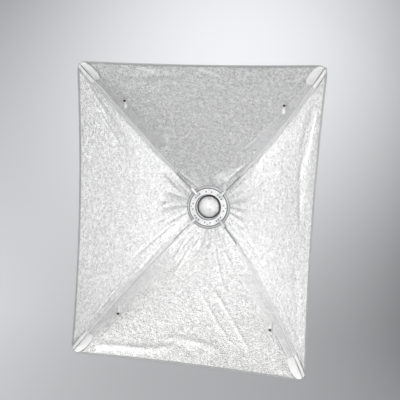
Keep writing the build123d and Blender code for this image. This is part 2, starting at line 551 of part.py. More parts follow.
# ---- tilt lug, bolt and lever ----
lug = block(-27, 27, -32, 32, BODY_BOTTOM - 6, BODY_BOTTOM)
for side in (-1, 1):
    near, far = sorted((side * EAR_IN, side * EAR_OUT))
    lug += block(near, far, -DISC_R, DISC_R, PIVOT_Z, BODY_BOTTOM - 5)
    lug += along_x(DISC_R, near, far, 0, PIVOT_Z)
lug -= along_x(BOLT_R + FIT, -30, 30, 0, PIVOT_Z)
parts["tilt_lug"] = lug
bolt = along_x(BOLT_R, -EAR_OUT - 1, 26, 0, PIVOT_Z)
head_face = Plane.YZ * RegularPolygon(7.5, 6)
bolt += Pos(-EAR_OUT - 0.2, 0, PIVOT_Z) * extrude(head_face, amount=-5.5)
parts["tilt_bolt"] = bolt
washer = along_x(DISC_R - 2, DISC_HALF + 0.15, EAR_IN - 0.15, 0, PIVOT_Z)
washer -= along_x(BOLT_R + FIT, 0, 20, 0, PIVOT_Z)
parts["friction_washers"] = Compound(children=[washer, mirrored_x(washer)])
lever = along_x(10, EAR_OUT + 0.4, 30, 0, PIVOT_Z)
lever += block(21, 29, 0, LEVER_LONG, PIVOT_Z - 5, PIVOT_Z + 5)
lever += along_x(5, 21, 29, LEVER_LONG, PIVOT_Z)
parts["tilt_lever"] = lever - along_x(BOLT_R + FIT, 0, 26.5, 0, PIVOT_Z)

# ---- stand bracket ----
bracket = along_x(DISC_R, -DISC_HALF, DISC_HALF, 0, PIVOT_Z)
bracket += block(-DISC_HALF, DISC_HALF, -STEM_HALF, STEM_HALF, SOCKET_H - 2, PIVOT_Z)
bracket += along_z(SOCKET_R, 0, SOCKET_H)
bracket += along_x(7.5, -24, -12, 0, SPIGOT_KNOB_Z)
bracket -= along_x(BOLT_R + FIT, -30, 30, 0, PIVOT_Z)
bracket -= along_z(SPIGOT_R, -1, SPIGOT_DEPTH)
bracket -= along_y(UMBRELLA_R, -30, 30, 0, UMBRELLA_Z)
bracket -= along_x(SPIGOT_SCREW_R + FIT, -30, -7, 0, SPIGOT_KNOB_Z)
bracket -= along_x(UMBRELLA_SCREW_R + FIT, -20, -3, 0, UMBRELLA_Z)
parts["stand_bracket"] = bracket
spigot_grip = grip(14, 6, 4, -42, -25, 0, SPIGOT_KNOB_Z)
parts["spigot_knob"] = spigot_grip + along_x(SPIGOT_SCREW_R, -26, -SPIGOT_R - 0.6, 0, SPIGOT_KNOB_Z)
umbrella_grip = grip(7.5, 8, 1.2, -22, -9.6, 0, UMBRELLA_Z)
umbrella_screw = along_x(UMBRELLA_SCREW_R, -12, -UMBRELLA_R - 0.6, 0, UMBRELLA_Z)
parts["umbrella_knob"] = umbrella_grip + umbrella_screw

if __name__ == "__main__":
    os.makedirs("parts", exist_ok=True)
    for name, shape in parts.items():
        export_step(shape, f"parts/{name}.step")
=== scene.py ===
"""Looks of the studio softbox: cloth, tape, metal, plastic and glass round the CAD part. Metres."""

import math

import bpy
import numpy as np
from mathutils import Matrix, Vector, noise


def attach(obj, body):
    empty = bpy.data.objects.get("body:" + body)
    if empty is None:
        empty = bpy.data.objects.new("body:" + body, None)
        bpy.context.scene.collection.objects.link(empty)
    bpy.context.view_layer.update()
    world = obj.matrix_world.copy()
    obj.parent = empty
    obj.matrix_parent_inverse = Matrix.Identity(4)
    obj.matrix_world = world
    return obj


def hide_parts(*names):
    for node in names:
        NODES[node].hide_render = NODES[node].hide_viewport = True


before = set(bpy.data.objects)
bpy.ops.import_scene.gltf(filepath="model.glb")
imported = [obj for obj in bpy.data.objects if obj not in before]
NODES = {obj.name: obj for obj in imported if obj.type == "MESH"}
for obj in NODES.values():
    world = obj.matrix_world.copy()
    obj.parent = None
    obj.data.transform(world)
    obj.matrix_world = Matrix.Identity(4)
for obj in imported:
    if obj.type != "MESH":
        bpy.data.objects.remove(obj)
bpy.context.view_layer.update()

AXIS_Z = 0.180  # the optical axis
CORNER_Y = -0.470  # the plane of the cloth's corners

# ---- camera ----
CAMERA_PLACE = (0.30985, -2.07318, 0.41648)
CAMERA_TURN = (84.03433, -2.66698, 10.18163)  # degrees

camera = bpy.data.objects.new("camera", bpy.data.cameras.new("camera"))
bpy.context.scene.collection.objects.link(camera)
camera.location = CAMERA_PLACE
camera.rotation_euler = [math.radians(a) for a in CAMERA_TURN]
camera.data.lens = 45.1
camera.data.sensor_width = 36
camera.data.clip_end = 50
bpy.context.scene.camera = camera


# ---- materials ----
class Shader:
    """A Principled material, with short calls for the nodes in front of it."""

    def __init__(self, name, colour, **sockets):
        self.material = bpy.data.materials.new(name)
        self.material.use_nodes = True
        self.tree = self.material.node_tree
        self.bsdf = self.tree.nodes["Principled BSDF"]
        self.bsdf.inputs["Base Color"].default_value = (*colour, 1)
        for key, value in sockets.items():
            title = key.replace("_", " ").title().replace("Ior", "IOR")
            self.bsdf.inputs[title].default_value = value

    def add(self, kind, settings=None, **inputs):
        """A node. An input is named, or _0, _1 and so on by its place."""
        node = self.tree.nodes.new("ShaderNode" + kind)
        for key, value in (settings or {}).items():
            setattr(node, key, value)
        for key, value in inputs.items():
            socket = node.inputs[int(key[1:])] if key[0] == "_" else node.inputs[key.replace("_", " ")]
            self.feed(socket, value)
        return node

    def feed(self, socket, value):
        if isinstance(value, bpy.types.NodeSocket):
            self.tree.links.new(value, socket)
        elif isinstance(value, tuple) and len(value) == 3 and socket.type == "RGBA":
            socket.default_value = (*value, 1)
        else:
            socket.default_value = value

    def place(self, stretch=(1, 1, 1), uv=False):
        """Object coordinates in metres, or the UV map's, stretched."""
        source = self.add("TexCoord").outputs["UV" if uv else "Object"]
        return self.add("Mapping", Vector=source, Scale=stretch).outputs[0]

    def split(self, vector):
        return self.add("SeparateXYZ", Vector=vector).outputs

    def noise(self, at, scale, detail=3.0, rough=0.55):
        node = self.add("TexNoise", Vector=at, Scale=scale, Detail=detail, Roughness=rough)
        return node.outputs["Fac"]

    def cells(self, at, scale):
        return self.add("TexVoronoi", Vector=at, Scale=scale).outputs["Distance"]

    def maths(self, operation, a, b=0.0):
        return self.add("Math", {"operation": operation}, _0=a, _1=b).outputs[0]

    def vector(self, operation, a, b, output=0, **more):
        return self.add("VectorMath", {"operation": operation}, _0=a, _1=b, **more).outputs[output]

    def ramp(self, value, low, high, a=0.0, b=1.0):
        """value from low..high becomes a..b, clamped."""
        limits = {"From_Min": low, "From_Max": high, "To_Min": a, "To_Max": b}
        return self.add("MapRange", Value=value, **limits).outputs[0]

    def blend(self, a, b, share):
        """share of a, and the rest of b, for two heights or tones."""
        return self.maths("ADD", self.maths("MULTIPLY", a, share), self.maths("MULTIPLY", b, 1 - share))

    def near(self, value, middle, reach):
        """1 within reach of middle, and 0 outside."""
        off = self.maths("ABSOLUTE", self.maths("SUBTRACT", value, middle))
        return self.maths("LESS_THAN", off, reach)

    def mix(self, share, a, b):
        return self.add("Mix", {"data_type": "RGBA"}, _0=share, _6=a, _7=b).outputs[2]

    def colour(self, value):
        self.feed(self.bsdf.inputs["Base Color"], value)

    def roughness(self, value):
        self.feed(self.bsdf.inputs["Roughness"], value)

    def bump(self, height, distance, strength=1.0):
        """Adds a layer of relief over what is there already."""
        node = self.add("Bump", Height=height, Distance=distance, Strength=strength)
        before = self.bsdf.inputs["Normal"]
        if before.links:
            self.tree.links.new(before.links[0].from_socket, node.inputs["Normal"])
        self.feed(before, node.outputs[0])


def shade(colour, factor):
    return tuple(min(1.0, c * factor) for c in colour)


def cast(name, colour, grain, depth, rough, spread):
    """Paint or plastic with a fine grain of that depth, a slow change of shade and uneven gloss."""
    s = Shader(name, colour)
    at = s.place()
    slow, fine = s.noise(at, 18, 4), s.noise(at, grain, 2)
    s.colour(s.mix(s.ramp(slow, 0.3, 0.7), shade(colour, 1 - spread), shade(colour, 1 + spread)))
    s.roughness(s.ramp(s.noise(at, 60, 5), 0.3, 0.7, rough - 0.07, rough + 0.07))
    s.bump(fine, depth)
    return s.material


def metal(name, colour, rough, stretch=(1, 1, 1)):
    """Brushed metal: fine lines along the short way of stretch, and faint smears."""
    s = Shader(name, colour, metallic=1.0)
    lines = s.noise(s.place(stretch), 900, 2)
    smears = s.noise(s.place(), 35, 5)
    s.colour(s.mix(s.ramp(smears, 0.35, 0.7), shade(colour, 0.86), shade(colour, 1.06)))
    s.roughness(s.ramp(lines, 0.3, 0.7, rough - 0.08, rough + 0.1))
    s.bump(lines, 0.00004)
    return s.material


def turned(name, colour, painted_shadow_radius=0.0, metallic=0.7):
    """Satin metal turned on the optical axis, painted dark inside a given radius as the shadow in the
    gap there.
    """
    s = Shader(name, colour, metallic=metallic)
    at = s.place()
    spot = s.split(at)
    up = s.maths("SUBTRACT", spot["Z"], AXIS_Z)
    square = s.maths("ADD", s.maths("MULTIPLY", spot["X"], spot["X"]), s.maths("MULTIPLY", up, up))
    radius = s.maths("SQRT", square)
    tone = s.mix(s.ramp(s.noise(at, 40, 4), 0.3, 0.7), shade(colour, 0.9), shade(colour, 1.06))
    # painted shadow: inside the radius the metal is darkened to a tenth, as the shade of the gap beside
    # it
    s.colour(s.mix(s.ramp(radius, painted_shadow_radius - 0.0004, painted_shadow_radius), shade(colour, 0.10), tone))
    s.roughness(s.ramp(s.noise(at, 300, 2), 0.3, 0.7, 0.34, 0.5))
    s.bump(s.maths("SINE", s.maths("MULTIPLY", radius, 9000.0)), 0.00002)
    return s.material


def weave(s, at, pitch, depth):
    """Over and under threads of a plain weave, from UV in metres."""
    threads = {"Vector": at, "Scale": math.pi / 10 / pitch, "Distortion": 0.4, "Detail": 1.0}
    across = s.add("TexWave", {"bands_direction": "X"}, **threads)
    along = s.add("TexWave", {"bands_direction": "Y"}, **threads)
    height = s.maths("MULTIPLY", across.outputs["Fac"], along.outputs["Fac"])
    s.bump(height, depth)
    return height


def black_cloth():
    """Coated nylon on the outside, with a fine weave and a dusty sheen."""
    s = Shader("black_cloth", (0.018, 0.018, 0.02), roughness=0.62, sheen_weight=0.25,
               sheen_roughness=0.4)
    tone = s.blend(weave(s, s.place(uv=True), 0.0009, 0.0004), s.noise(s.place(), 14, 5), 0.5)
    s.colour(s.mix(s.ramp(tone, 0.2, 0.75), (0.012, 0.012, 0.013), (0.034, 0.034, 0.036)))
    s.bump(s.noise(s.place(), 45, 4), 0.003, 0.3)
    return s.material


def tape(name, colour, pitch):
    """Woven tape."""
    s = Shader(name, colour, roughness=0.75)
    tone = s.blend(weave(s, s.place(uv=True), pitch, 0.0004), s.noise(s.place(), 40, 4), 0.5)
    s.colour(s.mix(s.ramp(tone, 0.2, 0.8), shade(colour, 0.72), shade(colour, 1.25)))
    return s.material


NECK_LIP = -0.0978  # Y behind which the neck band is black


def neck_tape():
    """Black tape outside, with the lining's silver on the lip that faces forward, painted darker as the
    shade at the neck.
    """
    s = Shader("neck_tape", (0.02, 0.02, 0.022), roughness=0.6)
    at = s.place()
    lip = s.ramp(s.split(at)["Y"], NECK_LIP, NECK_LIP + 0.0005, 1.0, 0.0)
    slow, fine = s.noise(at, 40, 4), s.noise(at, 600, 2)
    black = s.mix(slow, (0.015, 0.015, 0.016), (0.034, 0.034, 0.036))
    # partly painted shade: the lip's silver is much darker than the lining's, as the shade inside the
    # neck
    silver = s.mix(fine, (0.26, 0.26, 0.26), (0.42, 0.42, 0.42))
    s.colour(s.mix(lip, black, silver))
    s.bump(fine, 0.0003)
    return s.material


def glass(name, colour, rough, weight, haze):
    """Glass that lets weight of the light through, with faint patches darker by haze."""
    s = Shader(name, colour, transmission_weight=weight, ior=1.47)
    at = s.place()
    s.roughness(s.ramp(s.noise(at, 60, 4), 0.3, 0.7, max(0.0, rough - 0.06), rough + 0.06))
    s.bump(s.noise(at, 25, 3), 0.0006, 0.25)
    s.colour(s.mix(s.ramp(s.noise(at, 45, 3), 0.42, 0.6), shade(colour, haze), colour))
    return s.material


M = {
    "black_cloth": black_cloth(),
    "neck": neck_tape(),
    "black_tape": tape("black_tape", (0.02, 0.02, 0.022), 0.0008),
    "white_tape": tape("white_tape", (0.80, 0.80, 0.79), 0.0006),
    "aluminium": metal("satin_aluminium", (0.86, 0.865, 0.87), 0.36),
    "zinc": metal("zinc_plate", (0.62, 0.62, 0.61), 0.38),
    "screw": metal("dark_screw", (0.12, 0.12, 0.122), 0.35),
    "rod": metal("rod_steel", (0.36, 0.365, 0.37), 0.34, (1, 0.1, 1)),
    "polished": metal("polished_aluminium", (0.92, 0.92, 0.92), 0.15),
    "brass": metal("brass", (0.78, 0.60, 0.28), 0.3),
    # painted shadow at the plate's opening and in the gap between the plate and the rotor
    "plate": turned("painted_plate", (0.87, 0.872, 0.875), painted_shadow_radius=0.0530, metallic=0.3),
    "rotor": turned("turned_rotor", (0.62, 0.625, 0.63), painted_shadow_radius=0.0785),
    "adapter": turned("turned_adapter", (0.86, 0.865, 0.87)),
    "black_metal": cast("black_powder_coat", (0.022, 0.022, 0.024), 1400, 0.0001, 0.42, 0.2),
    "black_satin": cast("black_satin_ring", (0.010, 0.010, 0.011), 1400, 0.00004, 0.28, 0.2),
    "housing": cast("housing_grain", (0.035, 0.035, 0.038), 1100, 0.00025, 0.55, 0.15),
    "grip": cast("grip_plastic", (0.020, 0.020, 0.021), 700, 0.00012, 0.48, 0.15),
    "fibre": cast("pressed_fibre", (0.30, 0.24, 0.17), 500, 0.0003, 0.8, 0.25),
    "elastic": cast("covered_elastic", (0.03, 0.03, 0.031), 800, 0.0004, 0.8, 0.2),
    "button": cast("button_plastic", (0.42, 0.43, 0.45), 1500, 0.00003, 0.25, 0.05),
    "red": cast("rocker_red", (0.42, 0.02, 0.02), 1500, 0.00003, 0.22, 0.08),
    "display": cast("display_window", (0.008, 0.010, 0.012), 1500, 0.00001, 0.08, 0.1),
    "sensor": cast("sensor_lens", (0.20, 0.010, 0.012), 1500, 0.00001, 0.08, 0.1),
    "board": cast("board_green", (0.02, 0.13, 0.06), 400, 0.0002, 0.4, 0.3),
    "capacitor": cast("capacitor_sleeve", (0.02, 0.03, 0.09), 900, 0.00005, 0.25, 0.1),
    "ceramic": cast("lamp_ceramic", (0.80, 0.79, 0.74), 900, 0.00008, 0.35, 0.04),
    "snap": cast("dark_snap", (0.012, 0.012, 0.013), 1400, 0.00004, 0.3, 0.2),
    "dome": glass("frosted_glass", (1.0, 1.0, 0.995), rough=0.30, weight=0.2, haze=0.86),
    "tube": glass("clear_glass", (0.98, 0.99, 0.98), rough=0.02, weight=1.0, haze=0.98),
}

FINISH = {
    "aluminium": ["rod_holders"],
    "plate": ["ring_plate"],
    "rotor": ["ring_rotor"],
    "adapter": ["bayonet_adapter"],
    "zinc": ["tilt_bolt", "panel_screws"],
    "screw": ["plate_screws", "holder_screws"],
    "rod": ["rod_upper_right", "rod_upper_left", "rod_lower_left", "rod_lower_right"],
    "polished": ["reflector_dish"],
    "brass": ["inlet_pins", "sync_socket"],
    "black_metal": ["front_casting", "stand_bracket", "tilt_lug", "bayonet_latch"],
    "black_satin": ["dome_ring"],
    "housing": ["housing_upper", "housing_lower", "rear_panel", "socket_plate"],
    "grip": ["handle", "tilt_lever", "spigot_knob", "umbrella_knob", "ring_lock_knob", "power_dial",
             "switch_bezel", "power_inlet", "fuse_cap", "fan_frame", "fan_rotor"],
    "fibre": ["friction_washers"],
    "elastic": ["neck_elastic"],
    "neck": ["neck_band"],
    "button": ["test_button", "lamp_button", "slave_button"],
    "red": ["power_switch"],
    "display": ["display_window"],
    "sensor": ["slave_sensor"],
    "board": ["main_board"],
    "capacitor": ["capacitors"],
    "ceramic": ["lamp_base"],
    "snap": ["tab_studs"],
    "white_tape": ["diffuser_tabs"],
    "dome": ["glass_dome"],
    "tube": ["flash_tube", "modelling_bulb"],
}
for key, names in FINISH.items():
    for name in names:
        data = NODES[name].data
        data.materials.clear()
        data.materials.append(M[key])


# ---- mesh helpers ----
def unit(v):
    return v / np.linalg.norm(v, axis=-1, keepdims=True)


def mesh_object(name, points, faces, materials, uvs=None, slots=None):
    mesh = bpy.data.meshes.new(name)
    mesh.from_pydata([tuple(p) for p in points], [], faces)
    for material in materials:
        mesh.materials.append(material)
    if slots is not None:
        mesh.polygons.foreach_set("material_index", slots)
    if uvs is not None:
        layer = mesh.uv_layers.new(name="metres")
        corners = np.zeros(len(mesh.loops), dtype=np.int32)
        mesh.loops.foreach_get("vertex_index", corners)
        layer.data.foreach_set("uv", np.asarray(uvs, dtype=np.float32)[corners].ravel())
    mesh.polygons.foreach_set("use_smooth", [True] * len(mesh.polygons))
    mesh.update()
    obj = bpy.data.objects.new(name, mesh)
    bpy.context.scene.collection.objects.link(obj)
    return obj


def grid_faces(rows, columns, closed=False):
    """Quads of a grid stored row by row. closed joins the last column to the first."""
    faces = []
    for i in range(rows - 1):
        for j in range(columns if closed else columns - 1):
            here, there = i * columns, (i + 1) * columns
            k = (j + 1) % columns
            faces.append((here + j, here + k, there + k, there + j))
    return faces


def sheet_faces(rows, columns):
    """Faces of a thin closed sheet: the front grid, the back grid behind it, and the rim."""
    n = rows * columns
    front = grid_faces(rows, columns)
    back = [tuple(n + c for c in f[::-1]) for f in front]
    loop = list(range(columns)) + [i * columns + columns - 1 for i in range(1, rows)]
    loop += [(rows - 1) * columns + j for j in range(columns - 2, -1, -1)]
    loop += [i * columns for i in range(rows - 2, 0, -1)]
    rim = [(a, n + a, n + b, b) for a, b in zip(loop, loop[1:] + loop[:1])]
    return front, back + rim


def running(points, axis):
    """Length so far along the rows (axis 0) or the columns (axis 1) of a grid."""
    steps = np.cumsum(np.linalg.norm(np.diff(points, axis=axis), axis=2), axis=axis)
    return np.concatenate([np.zeros_like(steps.take([0], axis=axis)), steps], axis=axis)


# ---- the cloth's surface ----
NECK_R, NECK_Y = 0.086, -0.096  # where the cloth meets the ring
HALF_W, HALF_H = 0.405, 0.503  # half the opening, corner to corner
SEAM_BOW = np.array([0.015, 0.044, 0.0])  # how far a seam bows sideways and back
SIDE_BOW = 0.004  # how far a panel sags between its seams at the hem
HEM_CUT_TOP, HEM_CUT_SIDE = 0.0015, 0.014  # how far the hem is cut back in its middle
HEM_ROUND, HEM_ROUND_RUN = 0.012, 0.010  # how far a hem's corner is cut back, and over what length
SEAM_GAP = 0.001  # from a panel's edge to the seam
CLOTH_T = 0.0011
COS_45 = math.cos(math.pi / 4)
SEAM_START = np.array([NECK_R * COS_45, NECK_Y, NECK_R * COS_45])
SEAM_END = np.array([HALF_W, CORNER_Y, HALF_H])
BACK = np.array([0.0, 1.0, 0.0])


def seam(share):
    """The upper right seam from ring to corner, with Z counted from the optical axis."""
    share = np.asarray(share, dtype=float)[..., None]
    return SEAM_START + (SEAM_END - SEAM_START) * share + SEAM_BOW * 4 * share * (1 - share)


def seam_run(share):
    return seam(share + 0.01) - seam(share - 0.01)


class Panel:
    """One side of the shell: X or Z runs across it, and up is where it faces outwards."""

    def __init__(self, name, across, up, hem_cut, half):
        self.name, self.across, self.up = name, np.array(across, float), np.array(up, float)
        self.hem_cut, self.half = hem_cut, half

    def seam_half(self, share):
        """Half the width between the seams."""
        return seam(share) @ np.abs(self.across)

    def outwards(self, share):
        run = seam_run(share)
        along_up = run @ np.abs(self.up)
        return unit(BACK * along_up[..., None] - self.up * run[..., 1:2])

    def point(self, u, share):
        """A point of the inner face and the way outwards there. u runs from -1 to 1 across the panel."""
        here, out = seam(share), self.outwards(share)
        ease = (1 - share)[..., None]
        way = unit(self.up * ease**2 + out * (1 - ease**2))
        bow = way * (NECK_R * (1 - COS_45) * ease**3 - SIDE_BOW * share[..., None])
        half = (self.seam_half(share) - SEAM_GAP)[..., None]
        middle = BACK * here[..., 1:2] + self.up * (here @ np.abs(self.up))[..., None]
        place = middle + self.across * half * u[..., None] + bow * (1 - u[..., None] ** 2)
        place[..., 2] += AXIS_Z
        return place, way

    def hem_share(self, u):
        """Where each line of cloth ends: the hem is cut back in its middle and round at its corners."""
        low, high = np.full_like(u, 0.5), np.full_like(u, 1.05)
        for _ in range(40):
            share = (low + high) / 2
            place, _ = self.point(u, share)
            t = (place @ self.across - AXIS_Z * self.across[2]) / self.half
            hem = CORNER_Y + self.hem_cut * (1 - t**2)
            hem += HEM_ROUND * np.exp(-(1 - np.abs(t)) * self.half / HEM_ROUND_RUN)
            past = place[..., 1] < hem
            high, low = np.where(past, share, high), np.where(past, low, share)
        return (low + high) / 2


PANELS = {
    "top": Panel("top", (1, 0, 0), (0, 0, 1), HEM_CUT_TOP, HALF_W),
    "bottom": Panel("bottom", (1, 0, 0), (0, 0, -1), HEM_CUT_TOP, HALF_W),
    "right": Panel("right", (0, 0, 1), (1, 0, 0), HEM_CUT_SIDE, HALF_H),
    "left": Panel("left", (0, 0, 1), (-1, 0, 0), HEM_CUT_SIDE, HALF_H),
}

# Marks and folds lie in a panel's own coordinates: u across it, and v from neck to hem.
SHADED_FOLD_WIDTH, GLINT_WIDTH = 0.0021, 0.009
# painted shade along fold lines in the lining: start and end
SHADED_FOLDS = {
    "left": [((0.955, 0.95), (0.735, 0.60)), ((0.965, 0.93), (0.755, 0.60)),
             ((0.975, 0.94), (0.91, 0.75)), ((0.985, 0.90), (0.925, 0.71)),
             ((-0.90, 0.90), (-0.80, 0.45))],
    "right": [((-0.86, 0.93), (-0.78, 0.62))],
    "bottom": [((-0.86, 0.93), (-0.80, 0.66)), ((0.92, 0.90), (0.86, 0.50))],
}
# soft bright glints along creases: start and end
GLINTS = {
    "top": [((-0.50, 0.975), (-0.34, 0.955)), ((0.02, 0.985), (0.23, 0.925)),
            ((0.40, 0.05), (0.87, 0.12)), ((0.52, 0.10), (0.93, 0.24)),
            ((-0.74, 0.36), (-0.55, 0.52))],
    "bottom": [((-0.66, 0.93), (-0.36, 0.93)), ((-0.35, 0.20), (-0.50, 0.34))],
    "right": [((0.80, 0.93), (0.45, 0.88))],
}
# pleats at the neck: how many across a panel, and how deep
PLEATS = {"top": (5, 0.0040), "bottom": (9, 0.0085), "right": (8, 0.0040), "left": (6, 0.0125)}
# folds: start, end, width as a share of the panel, depth, and how far the line bends
FOLDS = {
    "top": [
        ((0.33, 0.01), (0.90, 0.22), 0.030, 0.0050, 0.02),
        ((0.62, 0.02), (0.93, 0.30), 0.022, 0.0042, -0.01),
        ((-0.62, 0.00), (-0.95, 0.16), 0.028, 0.0040, 0.0),
        ((-0.10, 0.01), (-0.30, 0.26), 0.024, 0.0028, 0.0),
        ((0.15, 0.02), (0.42, 0.36), 0.020, 0.0026, -0.02),
        ((-0.75, 0.93), (-0.1, 0.96), 0.018, 0.0030, 0.02),
        ((-0.52, 0.99), (-0.30, 0.93), 0.014, 0.0040, 0.01),
        ((0.02, 0.99), (0.27, 0.93), 0.014, 0.0045, -0.01),
    ],
    "bottom": [
        ((-0.86, 0.93), (-0.1, 0.90), 0.020, 0.0060, -0.04),
        ((-0.9, 0.96), (-0.35, 0.95), 0.015, 0.0040, 0.01),
        ((-0.3, 0.88), (0.35, 0.92), 0.020, 0.0040, 0.03),
        ((0.2, 0.5), (0.62, 0.94), 0.016, 0.0030, 0.03),
        ((-0.07, 0.01), (0.06, 0.40), 0.040, 0.0060, 0.01),
        ((0.24, 0.02), (0.38, 0.52), 0.030, 0.0050, 0.0),
        ((0.45, 0.01), (0.62, 0.36), 0.034, 0.0050, -0.01),
        ((-0.42, 0.02), (-0.46, 0.50), 0.036, 0.0060, 0.02),
        ((-0.72, 0.02), (-0.62, 0.34), 0.034, 0.0050, 0.0),
        ((0.05, 0.55), (0.42, 0.86), 0.014, 0.0026, 0.0),
    ],
    "right": [
        ((0.9, 0.9), (0.25, 0.78), 0.030, 0.0040, 0.05),
        ((0.85, 0.86), (-0.1, 0.90), 0.030, 0.0040, -0.03),
        ((-0.9, 0.95), (-0.2, 0.85), 0.030, 0.0030, 0.02),
        ((0.82, 0.01), (0.88, 0.36), 0.030, 0.0036, 0.0),
        ((0.30, 0.01), (0.34, 0.30), 0.030, 0.0030, 0.01),
        ((-0.5, 0.01), (-0.66, 0.40), 0.030, 0.0034, 0.0),
    ],
    "left": [
        ((0.93, 0.93), (0.62, 0.48), 0.012, 0.0030, 0.01),
        ((0.90, 0.93), (0.52, 0.52), 0.012, 0.0030, 0.015),
        ((-0.93, 0.93), (-0.78, 0.35), 0.014, 0.0030, 0.01),
        ((0.16, 0.0), (0.10, 0.34), 0.050, 0.0070, 0.02),
        ((0.52, 0.0), (0.74, 0.30), 0.040, 0.0055, 0.0),
        ((-0.52, 0.0), (-0.68, 0.58), 0.034, 0.0060, 0.01),
        ((-0.80, 0.02), (-0.92, 0.50), 0.026, 0.0045, 0.0),
        ((-0.18, 0.0), (-0.30, 0.36), 0.044, 0.0060, -0.02),
    ],
}
NECK_HOLD = 0.018  # share of the panel next to the ring that the neck band holds smooth


def marked_line(s, at, key, start, end, width):
    """1 on a thin line over one panel, fading to 0 beside it and at its ends."""
    panel = PANELS[key]
    ends = [panel.point(np.array([u]), v * panel.hem_share(np.array([u]))) for u, v in (start, end)]
    (first, way), (last, _) = ends
    first, last, way = first[0], last[0], way[0]
    length = np.linalg.norm(last - first)
    run = (last - first) / length
    from_start = s.vector("SUBTRACT", at, tuple(first))

    def reach(axis):
        return s.vector("DOT_PRODUCT", from_start, tuple(axis), "Value")

    off_middle = s.maths("ABSOLUTE", s.maths("SUBTRACT", s.maths("DIVIDE", reach(run), length), 0.5))
    inside = s.ramp(off_middle, 0.35, 0.5, 1.0, 0.0)
    beside = s.ramp(s.maths("ABSOLUTE", reach(unit(np.cross(run, way)))), 0.2 * width, width, 1.0, 0.0)
    level = s.near(reach(way), 0.0, 0.05)
    return s.maths("MULTIPLY", s.maths("MULTIPLY", inside, beside), level)


def silver_cloth():
    """Coated lining: crinkled all over, with soft creases, painted glints on the crinkles' crests and
    along creases, and painted shade along fold lines.
    """
    s = Shader("silver_lining", (0.86, 0.86, 0.86), metallic=0.7)
    at = s.place()
    pits = s.cells(at, 240)
    flecks = s.noise(at, 290, 3, 0.75)
    clumps = s.noise(at, 80, 3, 0.6)
    creases = s.noise(at, 30, 5, 0.6)
    grain = s.blend(flecks, clumps, 0.75)
    shown = s.mix(s.ramp(grain, 0.40, 0.58), (0.46, 0.46, 0.463), (0.96, 0.96, 0.955))
    # painted highlights: the crinkles' crests are painted white as glints
    crest_glints = s.maths("ADD", grain, s.maths("MULTIPLY", creases, 0.25))
    shown = s.mix(s.ramp(crest_glints, 0.65, 0.72), shown, (1.0, 1.0, 0.995))
    drift = s.add("TexNoise", Vector=at, Scale=14.0).outputs["Color"]
    wandering = s.vector("MULTIPLY_ADD", drift, (0.02, 0.02, 0.02), _2=at)
    broken = s.ramp(flecks, 0.36, 0.48)
    for key, lines in GLINTS.items():
        for start, end in lines:
            line = marked_line(s, wandering, key, start, end, GLINT_WIDTH)
            shown = s.mix(s.maths("MULTIPLY", line, broken), shown, (1.0, 1.0, 1.0))
    s.roughness(s.ramp(flecks, 0.3, 0.7, 0.24, 0.5))
    s.bump(creases, 0.006, 0.6)
    s.bump(clumps, 0.004, 0.6)
    s.bump(pits, 0.002, 0.7)
    s.bump(flecks, 0.002, 0.6)
    # painted shade: the fold lines are darkened towards 0.30
    for key, lines in SHADED_FOLDS.items():
        for start, end in lines:
            line = marked_line(s, at, key, start, end, SHADED_FOLD_WIDTH)
            shown = s.mix(s.maths("MULTIPLY", line, 0.6), shown, (0.30, 0.30, 0.31))
    s.colour(shown)
    return s.material


M["silver"] = silver_cloth()


def soft_noise(points, scale, seed):
    shift = Vector((seed * 7.3, seed * 3.1, seed * 5.7))
    values = [noise.noise(Vector(p) * scale + shift) for p in points.reshape(-1, 3)]
    return np.array(values).reshape(points.shape[:-1])


def crease(u, v, start, end, width, depth, bend):
    """A fold along a line in the panel's own coordinates, fading out towards both ends."""
    (u0, v0), (u1, v1) = start, end
    du, dv = u1 - u0, v1 - v0
    length = math.hypot(du, dv)
    along = ((u - u0) * du + (v - v0) * dv) / length**2
    off = ((u - u0) * dv - (v - v0) * du) / length - bend * 4 * along * (1 - along)
    fade = np.clip(along * 5, 0, 1) * np.clip((1 - along) * 5, 0, 1)
    return depth * fade * np.exp(-((off / width) ** 2))


def relief(panel, u, v, place):
    """How far the cloth stands out of its smooth surface, positive outwards."""
    count, depth = PLEATS[panel.name]
    seed = len(panel.name)
    pleat = np.sin(count * math.pi * (u + 0.35 * soft_noise(place, 4, seed + 2)) + seed)
    pleat = np.sign(pleat) * np.abs(pleat) ** 1.4
    out = depth * pleat * np.exp(-((v - 0.06) / 0.15) ** 2) * (1 - u**2)
    out += 0.0030 * soft_noise(place, 9, seed) * v * (1 - u**4)
    for fold in FOLDS[panel.name]:
        out -= crease(u, v, *fold)
    held = 1 - np.exp(-((v / NECK_HOLD) ** 2))
    return out * held * (1 - u**20) * (1 - v**30)


